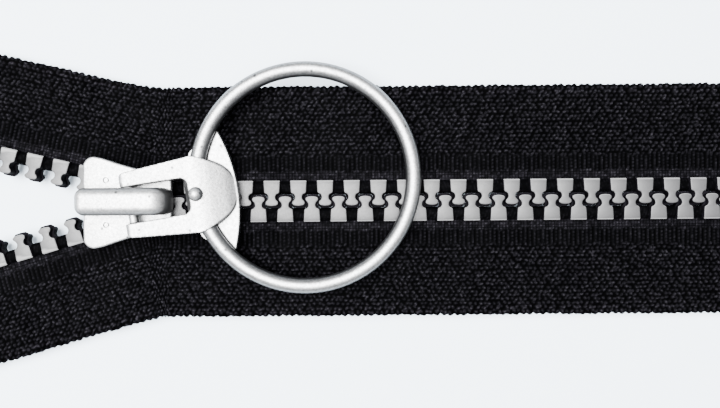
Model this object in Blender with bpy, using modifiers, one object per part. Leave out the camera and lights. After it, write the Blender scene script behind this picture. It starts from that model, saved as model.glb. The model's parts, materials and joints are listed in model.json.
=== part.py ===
"""A moulded-tooth separating zipper, size 5, half open, with an auto-lock slider and a ring pull.

Frame: X runs along the chain, towards the retainer box. Y runs across the tapes and Z points up.
The origin is the middle of the slider's bottom face. Sizes are in millimetres times MM.
"""
import math

import bmesh
import bpy
from mathutils import Matrix, Vector

MM = 0.001
MERGE = 0.00001

# Chain
PITCH = 3.8
CHAIN_HALF = 2.98
TOOTH_LOW = 1.0
TOOTH_HIGH = 3.4
CORD_Y = 2.25
CORD_Z = 2.2
CORD_RADIUS = 0.62
FIRST_UPPER = 4.94
FIRST_LOWER = FIRST_UPPER - PITCH / 2
CLOSED_TEETH = 22
MID_TEETH = 8
TOP_TEETH = 2
TRAVEL = MID_TEETH * PITCH
CHAIN_GAP = 0.08

# Tapes
TAPE_LOW = 1.9
TAPE_HIGH = 2.5
TAPE_INNER = 3.06
TAPE_OUTER = 16.4
TAPE_END = 101.5
TAPE_TOP_LENGTH = 31.0
BAND_OUTER = 4.4
BAND_STEP = 0.1
FILM_START = 87.0

# Each side opens about an upright line through its cord, just inside the slider's rear half
UPPER_HINGE = 3.6
LOWER_HINGE = 2.6
UPPER_ANGLE = math.radians(13.2)
LOWER_ANGLE = math.radians(16.0)

# Slider
SLIDER_FRONT = -6.3
SLIDER_REAR = 6.2
PLATE = 0.85
PLATE_TOP = 4.4
WING = 6.5
REAR_HALF = 4.1
FLANGE = 0.7
WALL_SLOPE = 0.2867
WALL_HALF = 3.2
WALL_BEND = 3.3

# Crown, lock lever, pin and spring
CROWN_FRONT = -6.2
CROWN_REAR = 6.5
CROWN_HALF = 1.9
CROWN_LOW = 4.46
CROWN_TOP = 8.1
CROWN_Y = 0.1
CROWN_ROUND = 1.0
CAVITY_HALF = 1.25
CEILING = 7.55
LEVER_PIVOT = (-4.6, 5.75)
LEVER_HALF = 1.15

# Pull and ring; the pull lies turned a little on its crossbar, as a loose pull does
PULL_PIVOT = Vector((1.12, -0.37, 5.7))
PULL_YAW = math.radians(8.7)
PULL_PITCH = math.radians(1.2)
CROSSBAR_RADIUS = 0.65
WINDOW_END = 8.05
RING_CENTRE = 24.3
RING_RADIUS = 15.08
WIRE_RADIUS = 1.08
TUNNEL_CLEARANCE = 0.1
TUNNEL_SKIN = 0.45

# Bottom end
BOX_START = 92.5
BOX_END = 101.4
BOX_HALF = 4.0
BOX_LOW = 0.25
BOX_HIGH = 4.15
PIN_START = 87.2
PIN_INNER = 0.12
PIN_OUTER = 2.5

BLACK = (0.012, 0.012, 0.014)
GREY = (0.52, 0.52, 0.53)
SILVER = (0.78, 0.79, 0.80)


def clear_scene():
    """Start from an empty file, with one collection for the parts and one for the cutters."""
    for old in list(bpy.data.objects):
        bpy.data.objects.remove(old, do_unlink=True)
    parts = bpy.data.collections.new("zipper")
    cutters = bpy.data.collections.new("zipper_cutters")
    bpy.context.scene.collection.children.link(parts)
    bpy.context.scene.collection.children.link(cutters)
    return parts, cutters


PARTS, CUTTERS = clear_scene()


def material(name, colour, roughness, metallic):
    """One Principled material."""
    made = bpy.data.materials.new(name)
    made.use_nodes = True
    shader = made.node_tree.nodes["Principled BSDF"]
    shader.inputs["Base Color"].default_value = (*colour, 1.0)
    shader.inputs["Roughness"].default_value = roughness
    shader.inputs["Metallic"].default_value = metallic
    return made


def add_mesh(name, mesh, collection=PARTS):
    """Put a mesh in the scene as an object."""
    made = bpy.data.objects.new(name, mesh)
    collection.objects.link(made)
    return made


def freeze(source, name):
    """Turn an object, its curve or its modifiers into a welded mesh object, and remove the source."""
    bpy.context.view_layer.update()
    graph = bpy.context.evaluated_depsgraph_get()
    mesh = bpy.data.meshes.new_from_object(source.evaluated_get(graph))
    mesh.transform(source.matrix_world)
    bpy.data.objects.remove(source, do_unlink=True)
    work = bmesh.new()
    work.from_mesh(mesh)
    bmesh.ops.remove_doubles(work, verts=work.verts, dist=MERGE / 10)
    bmesh.ops.recalc_face_normals(work, faces=work.faces)
    work.to_mesh(mesh)
    work.free()
    mesh.name = name
    return add_mesh(name, mesh)


def outline_solid(name, points, low, high):
    """A flat plate with a closed outline in XY, from height low to height high."""
    curve = bpy.data.curves.new(name, "CURVE")
    curve.dimensions = "2D"
    curve.fill_mode = "BOTH"
    curve.extrude = (high - low) / 2 * MM
    spline = curve.splines.new("POLY")
    spline.points.add(len(points) - 1)
    for knot, (x, y) in zip(spline.points, points):
        knot.co = (x * MM, y * MM, 0.0, 1.0)
    spline.use_cyclic_u = True
    guide = bpy.data.objects.new(name + "_outline", curve)
    PARTS.objects.link(guide)
    guide.location.z = (low + high) / 2 * MM
    return freeze(guide, name)


def side_solid(name, points, half, middle=0.0):
    """A plate with a closed outline in XZ, half either side of Y = middle."""
    made = outline_solid(name, points, -half, half)
    upright = Matrix.Rotation(math.radians(90), 4, "X")
    made.data.transform(Matrix.Translation((0, middle * MM, 0)) @ upright)
    return made


def box(name, low, high):
    """A box between two corners."""
    low = Vector(low) * MM
    high = Vector(high) * MM
    mesh = bpy.data.meshes.new(name)
    work = bmesh.new()
    bmesh.ops.create_cube(work, size=1.0)
    work.to_mesh(mesh)
    work.free()
    mesh.transform(Matrix.Translation((low + high) / 2) @ Matrix.Diagonal((*(high - low), 1.0)))
    return add_mesh(name, mesh)


def cylinder_y(name, x, z, radius, y_low, y_high, segments=16):
    """A round bar across the zipper."""
    mesh = bpy.data.meshes.new(name)
    work = bmesh.new()
    bmesh.ops.create_cone(work, cap_ends=True, segments=segments, radius1=radius * MM,
                          radius2=radius * MM, depth=(y_high - y_low) * MM)
    work.to_mesh(mesh)
    work.free()
    middle = Matrix.Translation((x * MM, (y_low + y_high) / 2 * MM, z * MM))
    mesh.transform(middle @ Matrix.Rotation(math.radians(90), 4, "X"))
    return add_mesh(name, mesh)


def torus(name, centre, radius, wire, around, across):
    """A ring lying flat: a small circle turned about Z with a Screw modifier."""
    mesh = bpy.data.meshes.new(name)
    work = bmesh.new()
    loop = []
    for step in range(across):
        angle = -2 * math.pi * step / across
        point = (radius + wire * math.cos(angle), 0.0, wire * math.sin(angle))
        loop.append(work.verts.new(Vector(point) * MM))
    for step in range(across):
        work.edges.new((loop[step], loop[(step + 1) % across]))
    work.to_mesh(mesh)
    work.free()
    made = add_mesh(name + "_section", mesh)
    screw = made.modifiers.new("turn", "SCREW")
    screw.steps = around
    screw.render_steps = around
    screw.use_merge_vertices = True
    screw.merge_threshold = MERGE
    made.location = Vector(centre) * MM
    return freeze(made, name)


def combine(base, other, operation):
    """Join the other object to the base, or cut it away, and remove it."""
    cut = base.modifiers.new(operation.lower(), "BOOLEAN")
    cut.operation = operation
    cut.solver = "EXACT"
    cut.object = other
    made = freeze(base, base.name)
    bpy.data.objects.remove(other, do_unlink=True)
    return made


def bevel(base, width, segments=2, angle=50):
    """Round the edges that are sharper than the angle."""
    rounding = base.modifiers.new("rounding", "BEVEL")
    rounding.width = width * MM
    rounding.segments = segments
    rounding.limit_method = "ANGLE"
    rounding.angle_limit = math.radians(angle)
    return freeze(base, base.name)


def finish(made, finish_material, smooth=False):
    """Give a part its own name, material and shading."""
    made.data.materials.clear()
    made.data.materials.append(finish_material)
    if smooth:
        made.data.shade_smooth()
        made.data.set_sharp_from_angle(angle=math.radians(40))
    return made


def arc(centre, radius, start, stop, steps):
    """Points along an arc, angles in degrees."""
    points = []
    for step in range(steps + 1):
        angle = math.radians(start + (stop - start) * step / steps)
        points.append((centre[0] + radius * math.cos(angle), centre[1] + radius * math.sin(angle)))
    return points


def mirrored(half):
    """A whole outline from its +Y half, given from left to right."""
    return half + [(x, -y) for x, y in reversed(half)]


# Rows of teeth ------------------------------------------------------------------------------

def tooth_outline(centre, side):
    """A tooth seen from above: a square base outside, a neck and a flared head towards the middle."""
    half = [(1.22, 0.0), (1.13, 1.72), (0.95, 1.86), (0.62, 2.02), (0.47, 2.3), (0.47, 2.5),
            (0.6, 2.85), (0.92, 3.12), (1.0, 3.3), (0.88, 3.48), (0.5, 3.64)]
    right = [(centre + across, side * (CHAIN_HALF - deep)) for across, deep in half]
    left = [(centre - across, side * (CHAIN_HALF - deep)) for across, deep in reversed(half)]
    return right + [(centre, side * (CHAIN_HALF - 3.7))] + left


def cord(name, start, stop, side):
    """The bead cord that the teeth are moulded on."""
    mesh = bpy.data.meshes.new(name)
    work = bmesh.new()
    bmesh.ops.create_cone(work, cap_ends=True, segments=8, radius1=CORD_RADIUS * MM,
                          radius2=CORD_RADIUS * MM, depth=(stop - start) * MM)
    work.to_mesh(mesh)
    work.free()
    middle = Matrix.Translation(Vector(((start + stop) / 2, side * CORD_Y, CORD_Z)) * MM)
    mesh.transform(middle @ Matrix.Rotation(math.radians(90), 4, "Y"))
    return add_mesh(name, mesh)


def teeth_row(name, first, count, side, start, stop):
    """A straight length of chain half: its cord with the teeth joined to it."""
    row = cord(name, start, stop, side)
    for index in range(count):
        outline = tooth_outline(first + index * PITCH, side)
        tooth = outline_solid("tooth", outline, TOOTH_LOW, TOOTH_HIGH)
        row = combine(row, tooth, "UNION")
    return row


def hinge_turn(hinge, angle, side):
    """The turn that opens one side: the row swings outwards about its hinge."""
    centre = Matrix.Translation(Vector((hinge, side * CORD_Y, 0)) * MM)
    return centre @ Matrix.Rotation(-side * angle, 4, "Z") @ centre.inverted()


def make_rows(teeth_material):
    """Three lengths of teeth on each side: closed, middle and top."""
    sides = (("upper", 1, FIRST_UPPER, UPPER_HINGE, UPPER_ANGLE),
             ("lower", -1, FIRST_LOWER, LOWER_HINGE, LOWER_ANGLE))
    for word, side, first, hinge, angle in sides:
        left = first - PITCH / 2 + 0.35
        closed = teeth_row(f"teeth_{word}_closed", first, CLOSED_TEETH, side, left, PIN_START - CHAIN_GAP)
        finish(closed, teeth_material)
        turn = hinge_turn(hinge, angle, side)
        mid_start = left - CHAIN_GAP * 3 - TRAVEL
        mid = teeth_row(f"teeth_{word}_mid", first - TRAVEL, MID_TEETH, side,
                        mid_start + CHAIN_GAP, left - CHAIN_GAP * 3 - 0.1)
        mid.data.transform(turn)
        finish(mid, teeth_material)
        stop_at = top_stop_right(first)
        top = teeth_row(f"teeth_{word}_top", first - TRAVEL - TOP_TEETH * PITCH, TOP_TEETH, side,
                        stop_at + CHAIN_GAP, mid_start)
        top.data.transform(turn)
        finish(top, teeth_material)


# Tapes, stops and the bottom end ----------------------------------------------------------------

def top_stop_right(first):
    """Where the top stop begins, past the last tooth and the slider's mouth."""
    return first - TRAVEL - TOP_TEETH * PITCH - 4.4


def tape_strip(name, corners):
    """A length of tape, with the thinner woven band beside the teeth."""
    strip = outline_solid(name, corners, TAPE_LOW, TAPE_HIGH)
    start = min(x for x, _ in corners) - 1
    stop = max(x for x, _ in corners) + 1
    side = math.copysign(1, corners[0][1])
    near = side * (TAPE_INNER - 1)
    far = side * BAND_OUTER
    for low, high in ((TAPE_LOW - 1, TAPE_LOW + BAND_STEP), (TAPE_HIGH - BAND_STEP, TAPE_HIGH + 1)):
        relief = box("relief", (start, min(near, far), low), (stop, max(near, far), high))
        strip = combine(strip, relief, "DIFFERENCE")
    return strip


def make_tapes(tape_material):
    """Three lengths of tape on each side. The fold's mitre leaves the closed and middle ones apart."""
    sides = (("upper", 1, UPPER_HINGE, UPPER_ANGLE), ("lower", -1, LOWER_HINGE, LOWER_ANGLE))
    for word, side, hinge, angle in sides:
        mitre = math.tan(angle / 2)
        inner_shift = (TAPE_INNER - CORD_Y) * mitre
        outer_shift = (TAPE_OUTER - CORD_Y) * mitre
        inner = side * TAPE_INNER
        outer = side * TAPE_OUTER
        closed = [(hinge + inner_shift + CHAIN_GAP, inner), (TAPE_END, inner), (TAPE_END, outer),
                  (hinge + outer_shift + CHAIN_GAP, outer)]
        finish(tape_strip(f"tape_{word}_closed", closed), tape_material)
        turn = hinge_turn(hinge, angle, side)
        fold = hinge - TRAVEL
        mid = [(fold + CHAIN_GAP, inner), (hinge - inner_shift - CHAIN_GAP, inner),
               (hinge - outer_shift - CHAIN_GAP, outer), (fold + CHAIN_GAP, outer)]
        strip = tape_strip(f"tape_{word}_mid", mid)
        strip.data.transform(turn)
        finish(strip, tape_material)
        top = [(fold - TAPE_TOP_LENGTH, inner), (fold - CHAIN_GAP, inner), (fold - CHAIN_GAP, outer),
               (fold - TAPE_TOP_LENGTH, outer)]
        strip = tape_strip(f"tape_{word}_top", top)
        strip.data.transform(turn)
        finish(strip, tape_material)


def make_top_stops(teeth_material):
    """A moulded stop at the top of each row."""
    sides = (("upper", 1, FIRST_UPPER, UPPER_HINGE, UPPER_ANGLE),
             ("lower", -1, FIRST_LOWER, LOWER_HINGE, LOWER_ANGLE))
    for word, side, first, hinge, angle in sides:
        right = top_stop_right(first)
        low = min(side * 0.6, side * CHAIN_HALF)
        high = max(side * 0.6, side * CHAIN_HALF)
        stop = box(f"top_stop_{word}", (right - 3.4, low, TOOTH_LOW - 0.1), (right, high, TOOTH_HIGH + 0.1))
        stop = bevel(stop, 0.4)
        stop.data.transform(hinge_turn(hinge, angle, side))
        finish(stop, teeth_material)


def make_bottom_end(teeth_material, film_material):
    """The insertion pin and box pin, the retainer box around them, and the film on the tapes' ends."""
    for name, side in (("box_pin", 1), ("insertion_pin", -1)):
        outline = [(PIN_START, side * CHAIN_HALF), (PIN_START, side * 1.2), (PIN_START + 1.6, side * PIN_INNER),
                   (BOX_END - 1.2, side * PIN_INNER), (BOX_END - 1.2, side * PIN_OUTER),
                   (BOX_START - 0.5, side * PIN_OUTER), (BOX_START - 0.9, side * CHAIN_HALF)]
        pin = outline_solid(name, outline, TOOTH_LOW + 0.1, TOOTH_HIGH - 0.1)
        finish(bevel(pin, 0.15, 1), teeth_material)
        film = box(f"film_{'upper' if side > 0 else 'lower'}",
                   (FILM_START, min(side * BAND_OUTER, side * TAPE_OUTER), TAPE_HIGH + CHAIN_GAP),
                   (TAPE_END, max(side * BAND_OUTER, side * TAPE_OUTER), TAPE_HIGH + CHAIN_GAP + 0.14))
        finish(film, film_material)
    shell = box("retainer_box", (BOX_START, -BOX_HALF, BOX_LOW), (BOX_END, BOX_HALF, BOX_HIGH))
    shell = bevel(shell, 0.7, 3)
    channel = box("channel", (BOX_START - 1, -PIN_OUTER - 0.1, TOOTH_LOW - 0.02),
                  (BOX_END - 1.1, PIN_OUTER + 0.1, TOOTH_HIGH + 0.02))
    shell = combine(shell, channel, "DIFFERENCE")
    for side in (1, -1):
        low = min(side * 2.0, side * (BOX_HALF + 1))
        high = max(side * 2.0, side * (BOX_HALF + 1))
        slot = box("slot", (BOX_START - 1, low, TAPE_LOW - 0.12), (BOX_END + 1, high, TAPE_HIGH + 0.12))
        shell = combine(shell, slot, "DIFFERENCE")
    finish(shell, teeth_material)


# Slider -----------------------------------------------------------------------------------

def wall_y(x):
    """Half width of the channel inside the slider."""
    return WALL_HALF + WALL_SLOPE * max(0.0, WALL_BEND - x)


def plate_outline():
    """The slider seen from above: two rounded wings at the mouth, narrowing to the rear."""
    half = [(SLIDER_FRONT + 0.15, 0.0), (SLIDER_FRONT, 2.6), (SLIDER_FRONT + 0.05, 5.0)]
    half += arc((SLIDER_FRONT + 1.5, WING - 1.45), 1.45, 165, 80, 5)
    half += [(-3.2, 6.15), (-1.2, 5.5), (1.2, 4.8), (3.2, 4.3)]
    half += arc((SLIDER_REAR - 0.8, REAR_HALF - 0.8), 0.8, 85, 0, 3)
    half += [(SLIDER_REAR, 0.0)]
    return half + [(x, -y) for x, y in reversed(half[1:-1])]


def flange_outline(side):
    """The side wall that follows the edge of the plate, outside the channel."""
    front = SLIDER_FRONT + 0.7
    rear = SLIDER_REAR - 0.35
    inner = [(x, side * wall_y(x)) for x in (front, WALL_BEND, rear)]
    outer = [(rear, 3.7), (5.2, 3.95), (3.2, 4.15), (1.2, 4.65), (-1.2, 5.35), (-3.2, 6.0), (-4.7, 6.3),
             (front, 6.1)]
    return inner + [(x, side * y) for x, y in outer]


def make_slider(metal):
    """Two plates joined by the wedge at the mouth, each with a pair of flanges."""
    body = outline_solid("slider_body", plate_outline(), 0.0, PLATE)
    body = bevel(body, 0.2, 1)
    top = outline_solid("top_plate", plate_outline(), PLATE_TOP - PLATE, PLATE_TOP)
    top = bevel(top, 0.2, 1)
    wedge = [(-1.7, -0.25), (-1.7, 0.22), (SLIDER_FRONT + 0.3, 1.3), (SLIDER_FRONT + 0.3, -1.55)]
    post = outline_solid("wedge", wedge, PLATE / 2, PLATE_TOP - PLATE / 2)
    body = combine(body, post, "UNION")
    body = combine(body, top, "UNION")
    inset = 0.3
    for side in (1, -1):
        low = outline_solid("flange", flange_outline(side), inset, PLATE + FLANGE)
        body = combine(body, low, "UNION")
        high = outline_solid("flange", flange_outline(side), PLATE_TOP - PLATE - FLANGE, PLATE_TOP - inset)
        body = combine(body, high, "UNION")
    claw_hole = box("claw_hole", (2.3, 0.6, 3.0), (3.7, 1.5, PLATE_TOP + 1))
    body = combine(body, claw_hole, "DIFFERENCE")
    finish(body, metal, smooth=True)


def make_crown(metal):
    """The cap over the lock: a rounded bar, hollow below, open at the sides for the pull's crossbar."""
    crown = box("crown", (CROWN_FRONT, CROWN_Y - CROWN_HALF, CROWN_LOW - CROWN_ROUND),
                (CROWN_REAR, CROWN_Y + CROWN_HALF, CROWN_TOP))
    crown = bevel(crown, CROWN_ROUND, 3)
    below = box("below", (CROWN_FRONT - 1, -4, CROWN_LOW - 3), (CROWN_REAR + 1, 4, CROWN_LOW))
    crown = combine(crown, below, "DIFFERENCE")
    cavity = box("cavity", (CROWN_FRONT + 0.9, CROWN_Y - CAVITY_HALF, CROWN_LOW - 1),
                 (CROWN_REAR - 0.9, CROWN_Y + CAVITY_HALF, CEILING))
    crown = combine(crown, cavity, "DIFFERENCE")
    eye = [(-1.5, CROWN_LOW - 1), (3.7, CROWN_LOW - 1)] + arc((2.5, 5.6), 1.2, 0, 90, 4)
    eye += arc((-0.3, 5.6), 1.2, 90, 180, 4)
    window = side_solid("eye", eye, 4)
    crown = combine(crown, window, "DIFFERENCE")
    finish(crown, metal, smooth=True)


def make_lock(steel):
    """The lock lever with its claw, the pin it turns on and the leaf spring that presses it down."""
    x, z = LEVER_PIVOT
    profile = [(x - 0.55, z - 0.5), (x + 0.5, z - 0.5), (-1.9, 6.5), (2.6, 6.5), (2.65, 5.0),
               (2.65, 3.05), (3.25, 3.3), (3.25, 5.2), (3.3, 6.7), (2.9, 6.95), (-2.1, 6.95),
               (x + 0.3, z + 0.55), (x - 0.55, z + 0.55)]
    lever = side_solid("lock_lever", profile, LEVER_HALF, CROWN_Y - 0.03)
    for low, high in ((-2.0, 0.8), (1.16, 2.0)):
        trim = box("trim", (2.0, low, 2.0), (4.0, high, 5.6))
        lever = combine(lever, trim, "DIFFERENCE")
    eye = cylinder_y("eye", x, z, 0.34, -3, 3, 12)
    lever = combine(lever, eye, "DIFFERENCE")
    finish(lever, steel)
    half = CAVITY_HALF - 0.04
    pin = cylinder_y("lever_pin", x, z, 0.27, CROWN_Y - half, CROWN_Y + half, 12)
    finish(pin, steel, smooth=True)
    bow = [(-5.1, 7.2), (-3.2, 7.3), (-0.6, 7.42), (-0.6, 7.52), (-3.2, 7.42), (-5.1, 7.34)]
    finish(side_solid("lock_spring", bow, 0.9, CROWN_Y), steel)


# Pull and ring ------------------------------------------------------------------------------

def pull_frame():
    """From the pull's own frame, whose X axis runs from its crossbar to the ring, to the zipper's."""
    place = Matrix.Translation(PULL_PIVOT * MM)
    return place @ Matrix.Rotation(PULL_YAW, 4, "Z") @ Matrix.Rotation(PULL_PITCH, 4, "Y")


def fork_outline():
    """The pull seen from above, without its window: widening arms and a rounded far end."""
    half = [(-0.95, 3.6)] + arc((-0.25, 3.85), 0.7, 135, 95, 2)
    half += [(9.2, 5.3), (10.1, 5.05), (11.0, 4.63), (12.2, 4.0), (13.2, 3.3), (14.0, 2.4), (14.3, 1.2)]
    return mirrored(half)


def web_outline():
    """The lens-shaped web under and inside the ring."""
    tip = 8.45
    radius = 22.85
    apex = 14.72
    front = []
    for step in range(5):
        y = tip * (1 - step / 5)
        front.append((apex - radius + math.sqrt(radius ** 2 - y ** 2), y))
    back = [(8.3, 4.4), (8.7, 5.9), (9.5, 6.6), (11.2, 7.9)]
    return mirrored(back + front)


def fork_profile():
    """The pull seen from the side: flat below near the slider, thicker at the tunnel, sloping at the end."""
    skin = WIRE_RADIUS + TUNNEL_CLEARANCE + TUNNEL_SKIN
    end = [(6.9, -0.85), (8.0, -skin), (16.0, -skin), (16.0, -0.3), (14.3, 0.1), (9.2, skin), (8.4, skin)]
    nose = arc((-0.1, 0.0), 0.85, 90, 270, 8)
    return nose + end


def make_window():
    """The cutter for the opening between the arms. Its end slants in below, to leave a wall at the tunnel."""
    end = WINDOW_END - 1.1
    outline = [(-3, -2.6), (end - 0.05, -2.5)] + arc((end, -1.4), 1.1, -70, 0, 4)
    outline += arc((end, 1.4), 1.1, 0, 70, 4) + [(end - 0.05, 2.5), (-3, 2.6)]
    window = outline_solid("window", outline, -5, 5)
    slant = [(-4, -6), (WINDOW_END - 0.55, -6), (WINDOW_END - 0.55, 0), (WINDOW_END, 1.5), (WINDOW_END + 1, 6),
             (-4, 6)]
    return combine(window, side_solid("slant", slant, 6), "INTERSECT")


def make_pull(metal, steel):
    """The fork, its crossbar, the plate around the ring, the ball on it and the web, as one casting."""
    skin = WIRE_RADIUS + TUNNEL_CLEARANCE + TUNNEL_SKIN
    pull = outline_solid("pull_plate", fork_outline(), -4, 4)
    pull = combine(pull, side_solid("profile", fork_profile(), 8), "INTERSECT")
    pull = combine(pull, make_window(), "DIFFERENCE")
    pull = combine(pull, cylinder_y("crossbar", 0, 0, CROSSBAR_RADIUS, -3.2, 3.2, 12), "UNION")
    web = outline_solid("web", web_outline(), -skin, 0.1)
    pull = combine(pull, web, "UNION")
    groove = torus("groove", (RING_CENTRE, 0, 0), RING_RADIUS, WIRE_RADIUS + TUNNEL_CLEARANCE, 64, 12)
    pull = combine(pull, groove, "DIFFERENCE")
    ball = bpy.data.meshes.new("ball")
    work = bmesh.new()
    bmesh.ops.create_uvsphere(work, u_segments=12, v_segments=8, radius=1.0 * MM)
    work.to_mesh(ball)
    work.free()
    ball.transform(Matrix.Translation(Vector((9.3, 0, skin)) * MM))
    lowered = box("lowered", (7, -2, -2), (12, 2, 1.35))
    ball = combine(add_mesh("ball", ball), lowered, "DIFFERENCE")
    pull = combine(pull, ball, "UNION")
    pull.data.transform(pull_frame())
    finish(pull, metal, smooth=True)
    ring = torus("pull_ring", (RING_CENTRE, 0, 0), RING_RADIUS, WIRE_RADIUS, 64, 12)
    ring.data.transform(pull_frame())
    finish(ring, steel, smooth=True)


def main():
    """Build every part."""
    tape = material("woven_polyester", BLACK, 0.85, 0.0)
    acetal = material("acetal_teeth", GREY, 0.45, 0.0)
    film = material("clear_film", (0.75, 0.76, 0.78), 0.2, 0.0)
    zinc = material("coated_zinc", SILVER, 0.35, 0.6)
    wire = material("satin_wire", SILVER, 0.3, 0.9)
    steel = material("spring_steel", (0.6, 0.6, 0.6), 0.3, 1.0)
    make_tapes(tape)
    make_rows(acetal)
    make_top_stops(acetal)
    make_bottom_end(acetal, film)
    make_slider(zinc)
    make_crown(zinc)
    make_lock(steel)
    make_pull(zinc, wire)


main()
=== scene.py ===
"""The zipper's looks: woven tapes, moulded teeth, cast slider and pull, and the studio around them."""
import json
import math

import bmesh
import bpy
import numpy as np
from mathutils import Matrix, Vector


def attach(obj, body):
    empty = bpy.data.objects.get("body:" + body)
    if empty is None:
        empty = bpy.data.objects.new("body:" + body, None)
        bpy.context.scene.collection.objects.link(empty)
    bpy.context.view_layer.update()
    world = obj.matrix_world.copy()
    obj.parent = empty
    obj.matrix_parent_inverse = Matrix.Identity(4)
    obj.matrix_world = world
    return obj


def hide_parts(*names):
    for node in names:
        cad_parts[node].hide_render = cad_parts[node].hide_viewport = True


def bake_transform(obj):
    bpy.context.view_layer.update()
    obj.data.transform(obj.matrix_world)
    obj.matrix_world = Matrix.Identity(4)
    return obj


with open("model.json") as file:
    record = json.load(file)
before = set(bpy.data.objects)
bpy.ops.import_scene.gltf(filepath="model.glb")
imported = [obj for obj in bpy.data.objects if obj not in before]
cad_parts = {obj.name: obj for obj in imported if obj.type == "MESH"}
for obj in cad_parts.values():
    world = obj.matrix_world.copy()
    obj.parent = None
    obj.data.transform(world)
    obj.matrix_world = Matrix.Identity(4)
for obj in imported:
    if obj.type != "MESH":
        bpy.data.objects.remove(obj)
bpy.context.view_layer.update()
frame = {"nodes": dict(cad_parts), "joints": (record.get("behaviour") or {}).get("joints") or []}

MM = 0.001
JOINTS = {joint["name"]: joint for joint in frame["joints"]}

# Chain, in millimetres, as in the frame
PITCH = 3.8
CHAIN_HALF = 2.98
CORD_Y = 2.25
CORD_Z = 2.2
BEAD_Y = 1.98
BEAD_HALF = 0.98
BEAD_RISE = 0.7
FIRST_UPPER = 4.94
FIRST_LOWER = FIRST_UPPER - PITCH / 2
CLOSED_TEETH = 22
MID_TEETH = 8
TOP_TEETH = 2
TRAVEL = MID_TEETH * PITCH

# Tapes
TAPE_LOW = 1.9
TAPE_HIGH = 2.5
TAPE_INNER = BEAD_Y - BEAD_HALF
TAPE_OUTER = 16.4
TAPE_END = 101.5
TAPE_TOP_LENGTH = 31.0
BAND_OUTER = 4.3
RIB_OUTER = 6.5
GRID = 0.165
COARSE = 3
BEND_LENGTH = 5.0
SEAM = -25.6

# "hinge" is the fold's place along X. "narrow" is the share of its width that a side loses where it is open.
# "tongue" is how much higher than TONGUE_LOW the side's tongues lie.
SIDES = {
    "upper": {"side": 1, "hinge": 3.6, "angle": math.radians(13.2), "first": FIRST_UPPER,
              "narrow": 0.045, "seed": 3, "tongue": 0.0},
    "lower": {"side": -1, "hinge": 2.6, "angle": math.radians(16.0), "first": FIRST_LOWER,
              "narrow": 0.02, "seed": 8, "tongue": 0.63},
}


# Shared mesh helpers ------------------------------------------------------------------------------

def new_object(name, mesh, material=None):
    """An object for a mesh, in the scene."""
    made = bpy.data.objects.new(name, mesh)
    bpy.context.scene.collection.objects.link(made)
    if material:
        made.data.materials.append(material)
    return made


def smooth(made, angle=40):
    """Shade smooth, keeping edges sharper than the angle."""
    made.data.shade_smooth()
    made.data.set_sharp_from_angle(angle=math.radians(angle))
    return made


def apply_modifiers(made):
    """Replace an object's mesh by what its modifiers make of it."""
    bpy.context.view_layer.update()
    graph = bpy.context.evaluated_depsgraph_get()
    mesh = bpy.data.meshes.new_from_object(made.evaluated_get(graph))
    made.modifiers.clear()
    old = made.data
    made.data = mesh
    bpy.data.meshes.remove(old)
    return made


def prism(name, outline, low, high):
    """An upright prism over a closed outline given in millimetres."""
    work = bmesh.new()
    ring = [work.verts.new((x * MM, y * MM, low * MM)) for x, y in outline]
    floor = work.faces.new(ring)
    raised = bmesh.ops.extrude_face_region(work, geom=[floor])
    verts = [item for item in raised["geom"] if isinstance(item, bmesh.types.BMVert)]
    bmesh.ops.translate(work, verts=verts, vec=(0, 0, (high - low) * MM))
    bmesh.ops.recalc_face_normals(work, faces=work.faces)
    mesh = bpy.data.meshes.new(name)
    work.to_mesh(mesh)
    work.free()
    return new_object(name, mesh)


def side_prism(name, outline, half, middle=0.0):
    """A prism across the zipper, over an outline in X and Z."""
    made = prism(name, outline, -half, half)
    upright = Matrix.Rotation(math.radians(90), 4, "X")
    made.data.transform(Matrix.Translation((0, middle * MM, 0)) @ upright)
    return made


def block(name, low, high):
    """A box between two corners in millimetres."""
    outline = [(low[0], low[1]), (high[0], low[1]), (high[0], high[1]), (low[0], high[1])]
    return prism(name, outline, low[2], high[2])


def combine(base, other, operation):
    """Join the other object to the base or cut it away, and remove it."""
    cut = base.modifiers.new("cut", "BOOLEAN")
    cut.operation = operation
    cut.solver = "EXACT"
    cut.object = other
    apply_modifiers(base)
    bpy.data.objects.remove(other, do_unlink=True)
    return base


def bevel(made, width, segments=3, angle=35):
    """Round the edges sharper than the angle."""
    rounding = made.modifiers.new("rounding", "BEVEL")
    rounding.width = width * MM
    rounding.segments = segments
    rounding.limit_method = "ANGLE"
    rounding.angle_limit = math.radians(angle)
    rounding.use_clamp_overlap = True
    return apply_modifiers(made)


def cast_soften(made, voxel, rounds, factor=0.5):
    """Turn a sharp solid into a soft cast one: an even skin, with its edges worn round."""
    remesh = made.modifiers.new("skin", "REMESH")
    remesh.mode = "VOXEL"
    remesh.voxel_size = voxel * MM
    soften = made.modifiers.new("soften", "SMOOTH")
    soften.iterations = rounds
    soften.factor = factor
    apply_modifiers(made)
    made.data.shade_smooth()
    return made


def arc(centre, radius, start, stop, steps):
    """Points along an arc, angles in degrees."""
    points = []
    for step in range(steps + 1):
        angle = math.radians(start + (stop - start) * step / steps)
        points.append((centre[0] + radius * math.cos(angle), centre[1] + radius * math.sin(angle)))
    return points


def mirrored(half):
    """A whole outline from its +Y half, given from left to right."""
    return half + [(x, -y) for x, y in reversed(half)]


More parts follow.
